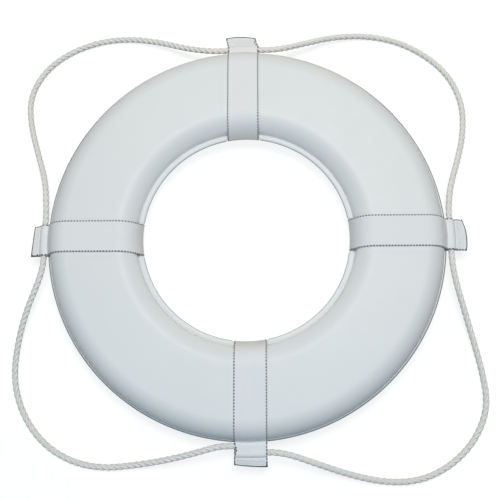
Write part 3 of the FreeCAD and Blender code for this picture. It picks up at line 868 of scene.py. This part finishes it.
def add_webbing(side, material):
    """One strap: a single length of webbing from cut end to cut end."""
    low, high, _ = strap_place(side)
    section = web_section(low, high)
    half = belt_line(side)
    rows, along = [], []
    for ply, marks in ((-1, half[:0:-1]), (1, half)):
        for mark in marks:
            rows.append([web_point(side, ply, mark, y, offset) for y, offset in section])
            along.append(ply * mark[3])
    centre = (low + high) / 2
    across = [y - centre for y, _ in section]
    across.append(across[0])
    webbing = grid_piece(f"webbing_{side}", rows, along, across, material, closed=True, caps=True)
    seal_ends(webbing, half[-1][3], (high - low) / 2, STRAPS[side]["melt_and_shade_reach"])
    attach(webbing, "buoy")
    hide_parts(f"strap_{side}")


def seal_ends(piece, reach, half_width, melt_and_shade_reach):
    """Marks how far each point is from the nearer cut end, dark from melting and painted shade, as
    an attribute.
    """
    mesh = piece.data
    ends = mesh.attributes.new("from_end", "FLOAT", "POINT")
    layer = mesh.uv_layers["UVMap"].data
    for loop in mesh.loops:
        along, across = layer[loop.index].uv
        corner = melt_and_shade_reach[0] if across < 0 else melt_and_shade_reach[1]
        extra = corner * exp(-((half_width - abs(across)) / MELT_AND_SHADE_WIDTH) ** 2)
        ends.data[loop.vertex_index].value = reach - abs(along) - extra


def add_stitches(side, material):
    """The two seams of a tab: short stitches of twisted thread on both plies."""
    low, high, _ = strap_place(side)
    room = high - low - 2 * SEAM_MARGIN
    count = int((room - STITCH_LENGTH) / STITCH_PITCH) + 1
    first = (low + high) / 2 - (count - 1) * STITCH_PITCH / 2
    dice = Random(int(STRAPS[side]["angle"]) + SEAM_SEED)
    stitches = []
    for seam in STRAPS[side]["seams"]:
        for number in range(count):
            for ply in (1, -1):
                stray = dice.uniform(-STITCH_STRAY_MM, STITCH_STRAY_MM) * MM
                middle = first + number * STITCH_PITCH + stray
                skew = dice.uniform(-STITCH_SKEW_MM, STITCH_SKEW_MM) * MM
                stitches.append(stitch_tube(side, ply, seam, middle, skew, material))
    seam_thread = join(f"seam_thread_{side}", stitches)
    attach(seam_thread, "buoy")
    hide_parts(f"stitching_{side}")


def stitch_tube(side, ply, seam, middle, skew, material):
    """One stitch: a thread that rises out of the webbing, lies on it and dives again."""
    surface = WEB_GAP + WEB_THICKNESS
    centres = []
    for step in range(STITCH_STEPS + 1):
        share = 2 * step / STITCH_STEPS - 1
        rise = STITCH_RISE - STITCH_DIVE * share ** 4
        mark = (seam + skew * share, surface + rise, 0.0, 0.0)
        centres.append(web_point(side, ply, mark, middle + share * STITCH_LENGTH / 2, 0.0))
    return tube("stitch", centres, THREAD_DIAMETER / 2, material)


def tube(name, centres, radius, material):
    """A round thread along points, with UVs (distance along, turns round)."""
    corners = THREAD_CORNERS
    rows = []
    for centre, (_, side, over) in zip(centres, frames_along(centres)):
        rows.append([centre + radius * (cos(a) * side + sin(a) * over)
                     for a in (2 * pi * j / corners for j in range(corners))])
    along = [0.0]
    for here, there in zip(centres, centres[1:]):
        along.append(along[-1] + (there - here).length)
    across = [j / corners for j in range(corners + 1)]
    return grid_piece(name, rows, along, across, material, closed=True, caps=True)


# ---------------------------------------------------------------- the grab line

def route_line(points):
    """Points of the smooth NURBS line that has the route's points as control points."""
    data = bpy.data.curves.new("route", "CURVE")
    data.dimensions = "3D"
    data.resolution_u = 40
    spline = data.splines.new("NURBS")
    spline.points.add(len(points) - 1)
    for slot, point in zip(spline.points, points):
        slot.co = (*point, 1.0)
    spline.order_u = 3
    spline.use_endpoint_u = True
    holder = bpy.data.objects.new("route", data)
    bpy.context.scene.collection.objects.link(holder)
    mesh = bpy.data.meshes.new_from_object(holder)
    line = [v.co.copy() for v in mesh.vertices]
    bpy.data.meshes.remove(mesh)
    bpy.data.objects.remove(holder)
    bpy.data.curves.remove(data)
    return line


def even_line(line, step):
    """The same line as points at even distances, and that distance."""
    reach = [0.0]
    for here, there in zip(line, line[1:]):
        reach.append(reach[-1] + (there - here).length)
    count = ceil(reach[-1] / step)
    step = reach[-1] / count
    found, index = [], 0
    for number in range(count + 1):
        goal = min(number * step, reach[-1])
        while index < len(line) - 2 and reach[index + 1] < goal:
            index += 1
        span = reach[index + 1] - reach[index]
        found.append(line[index].lerp(line[index + 1], (goal - reach[index]) / span))
    return found, step


def frames_along(line):
    """Tangent and two side directions at each point, turned as little as possible."""
    tangents = []
    for index in range(len(line)):
        before, after = line[max(index - 1, 0)], line[min(index + 1, len(line) - 1)]
        tangents.append((after - before).normalized())
    side = tangents[0].orthogonal().normalized()
    found = []
    for tangent in tangents:
        side = (side - side.dot(tangent) * tangent).normalized()
        found.append((tangent, side, tangent.cross(side)))
    return found


def rope_girth(starts_bare, ends_bare, distance, whole):
    """Share of the rope's full thickness at a distance along it. Threads bind it near a
    bare end: one that lies in the bottom strap."""
    left = whole
    if starts_bare:
        left = distance
    elif ends_bare:
        left = whole - distance
    share = 1.0
    for middle, wraps in ((WHIPPING_INSET + WHIPPING_LENGTH / 2, WHIPPING_LENGTH),
                          (seizing_inset(), SEIZING_LENGTH)):
        gap = abs(left - middle) - wraps / 2
        share = min(share, WHIPPED + (1 - WHIPPED) * min(1.0, max(0.0, gap / BINDING_FADE)))
    return share


def seizing_inset():
    """Distance of the seizing, in the middle of the bottom strap, from the rope's ends."""
    low, high, _ = strap_place("bottom")
    return (high - low) / 2 - END_INSET


def add_strand(name, line, step, phase, girth, material):
    """One strand of the right-laid rope as a closed tube round the rope's line."""
    strand = STRAND_SHARE * ROPE_DIAMETER / 2
    offset = ROPE_DIAMETER / 2 - strand
    corners = STRAND_CORNERS
    centres = []
    for index, (centre, (_, side, over)) in enumerate(zip(line, frames_along(line))):
        turn = 2 * pi * index * step / ROPE_LAY + phase
        centres.append(centre + girth[index] * offset * (cos(turn) * side + sin(turn) * over))
    rows = []
    for index, centre in enumerate(centres):
        before, after = centres[max(index - 1, 0)], centres[min(index + 1, len(centres) - 1)]
        tangent = (after - before).normalized()
        out = centre - line[index]
        out = (out - out.dot(tangent) * tangent).normalized()
        beside = tangent.cross(out)
        rows.append([centre + girth[index] * strand * (cos(a) * out + sin(a) * beside)
                     for a in (2 * pi * j / corners for j in range(corners))])
    along = [index * step for index in range(len(line))]
    across = [j / corners for j in range(corners + 1)]
    return grid_piece(name, rows, along, across, material, closed=True, caps=True)


def add_loop(name, starts_bare, ends_bare, pockets, material):
    """One free loop with its runs in the pockets: three strands round the route's line."""
    line, step = even_line(route_line(LOOPS[name]), ROPE_STEP)
    whole = step * (len(line) - 1)
    girth = [rope_girth(starts_bare, ends_bare, index * step, whole) for index in range(len(line))]
    strands = [add_strand(f"strand_{k}", line, step, 2 * pi * k / STRANDS, girth, material)
               for k in range(STRANDS)]
    rope = join(f"laid_rope_{name}", strands)
    low, high = loop_exits(name)
    outward = Vector((low.y - high.y, high.x - low.x, 0)).normalized()
    middle = (low + high) / 2
    if outward.dot(middle) < 0:
        outward = -outward
    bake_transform(rope)
    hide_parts(f"rope_loop_{name}", *pockets)


def loop_exits(name):
    """Where a loop leaves its two straps."""
    level = [Vector(p) for p in LOOPS[name] if abs(p[2] - MIDDLE) < 0.01 * MM]
    return [p for p in level if outside_straps(p)]


def outside_straps(point):
    """Whether a point lies beside all straps."""
    return strap_edge_distance(hypot(point.x, point.y), atan2(point.y, point.x)) > 0


def wound_thread(name, shape, start, length, material):
    """Thread wound closely round a rope in the bottom strap. shape gives the place across
    the rope for a turn, from 0 to 1: (outwards, up)."""
    turns = floor(length / THREAD_DIAMETER)
    pitch = length / turns
    centres = []
    for step in range(turns * TURN_CORNERS - TURN_CORNERS // 2):
        turn = step / TURN_CORNERS
        out, up = shape(turn % 1)
        centres.append(turned("bottom", (out, start + pitch * (turn + 0.5), MIDDLE + up)))
    winding = tube(f"{name}_thread", centres, THREAD_DIAMETER / 2, material)
    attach(winding, "buoy")
    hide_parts(name)


def round_turn(radius, reach):
    """A turn round one rope at that radius of the ring."""
    return lambda turn: (radius + reach * cos(2 * pi * turn), reach * sin(2 * pi * turn))


def double_turn(inner, outer, reach):
    """A turn round two ropes side by side: two half circles joined by straight runs."""
    straight, bend = outer - inner, pi * reach

    def place(turn):
        gone = turn * 2 * (straight + bend)
        if gone < bend:
            swing = gone / reach - pi / 2
            return outer + reach * cos(swing), reach * sin(swing)
        gone -= bend
        if gone < straight:
            return outer - gone, reach
        gone -= straight
        if gone < bend:
            swing = gone / reach + pi / 2
            return inner + reach * cos(swing), reach * sin(swing)
        return inner + gone - bend, -reach

    return place


def add_bindings(material):
    """The whipping on each rope end and the seizing that ties them side by side."""
    low, high, _ = strap_place("bottom")
    inner, outer = STRAPS["bottom"]["pocket"]
    reach = WHIPPED * ROPE_DIAMETER / 2 + THREAD_DIAMETER / 2
    inset = END_INSET + WHIPPING_INSET
    wound_thread("whipping_left", round_turn(inner, reach), high - inset - WHIPPING_LENGTH,
                 WHIPPING_LENGTH, material)
    wound_thread("whipping_right", round_turn(outer, reach), low + inset, WHIPPING_LENGTH, material)
    wound_thread("seizing", double_turn(inner, outer, reach), (low + high - SEIZING_LENGTH) / 2,
                 SEIZING_LENGTH, material)


# ---------------------------------------------------------------- build

def main():
    vinyl = vinyl_material()
    webbing = webbing_material((strap_place("top")[1] - strap_place("top")[0]) / 2)
    thread = thread_material()
    rope = rope_material()
    foam = foam_material()
    add_camera()
    add_lights()
    add_floor(floor_material())
    add_loop("top_left", False, False, ["rope_in_left_strap", "rope_in_top_strap"], rope)
    add_loop("top_right", False, False, ["rope_in_top_strap", "rope_in_right_strap"], rope)
    add_loop("bottom_right", True, False, ["rope_end_right", "rope_in_right_strap"], rope)
    add_loop("bottom_left", False, True, ["rope_end_left", "rope_in_left_strap"], rope)
    add_bindings(thread)
    for side in STRAPS:
        add_webbing(side, webbing)
        add_stitches(side, thread)
    for side in (1, -1):
        add_cover(side, vinyl)
    for half in ("front", "back"):
        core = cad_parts[f"foam_core_{half}"]
        core.data.materials.clear()
        core.data.materials.append(foam)


main()
